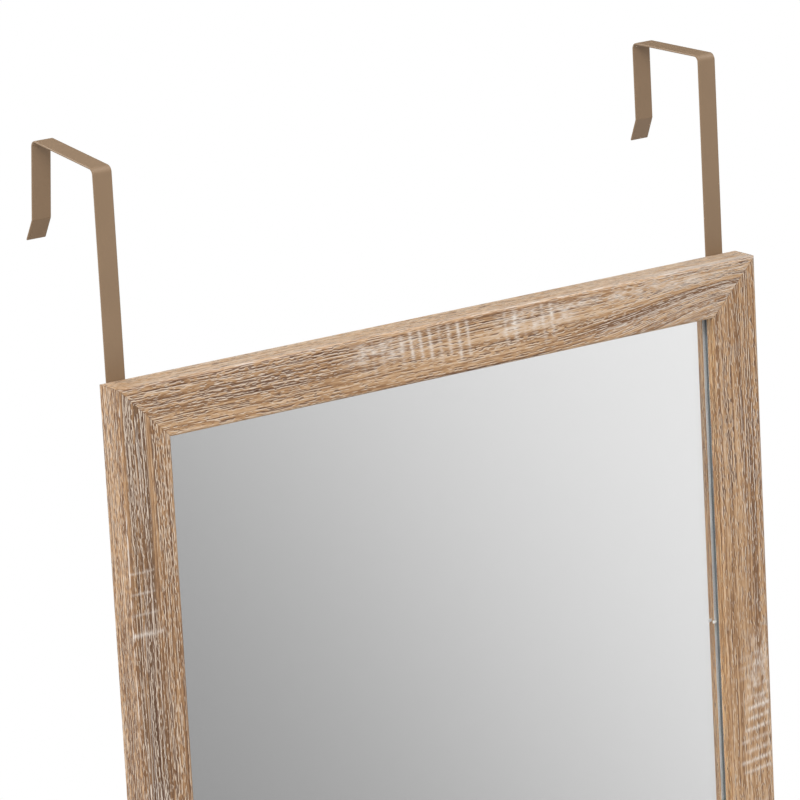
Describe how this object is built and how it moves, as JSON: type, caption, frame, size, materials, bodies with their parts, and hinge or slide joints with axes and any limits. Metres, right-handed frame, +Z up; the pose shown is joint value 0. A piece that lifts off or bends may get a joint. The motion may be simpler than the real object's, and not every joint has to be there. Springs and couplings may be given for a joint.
{
  "type": "over the door mirror",
  "caption": "Narrow dressing mirror in a mitred oak-look frame, hung over the top of a door by flat steel strap hooks.",
  "frame": {"origin": "on the door's top front edge, in the middle of the frame's width: the door's face is the plane Y = 0 and its top is the plane Z = 0", "axes": "+X to the right as the viewer faces the mirror, +Y into the door, away from the viewer, +Z up"},
  "size_m": [0.34, 0.0741, 1.038],
  "materials": {
    "oak_foil_moulding": "oak-look decor foil on fibreboard, matt, with open pores and pale saw marks",
    "bare_steel": "bare spring steel",
    "silvered_glass": "clear float glass, silvered on the back, seamed edges",
    "white_foam": "thin closed-cell foam sheet",
    "hardboard": "brown hardboard, smooth face out",
    "zinc_plated_steel": "bright zinc plating",
    "taupe_paint": "satin taupe powder coat on strip steel",
    "grey_rubber": "soft matt rubber"
  },
  "bodies": {
    "root": {"top_rail": "oak_foil_moulding", "bottom_rail": "oak_foil_moulding", "left_stile": "oak_foil_moulding", "right_stile": "oak_foil_moulding", "corner_nails_top_left": "bare_steel", "corner_nails_top_right": "bare_steel", "corner_nails_bottom_left": "bare_steel", "corner_nails_bottom_right": "bare_steel", "mirror_glass": "silvered_glass", "foam_sheet": "white_foam", "backing_board": "hardboard", "points_top": "zinc_plated_steel", "points_bottom": "zinc_plated_steel", "points_left": "zinc_plated_steel", "points_right": "zinc_plated_steel", "left_hook": "taupe_paint", "right_hook": "taupe_paint", "left_hook_screws": "zinc_plated_steel", "right_hook_screws": "zinc_plated_steel", "left_bumper": "grey_rubber", "right_bumper": "grey_rubber"}
  },
  "joints": []
}
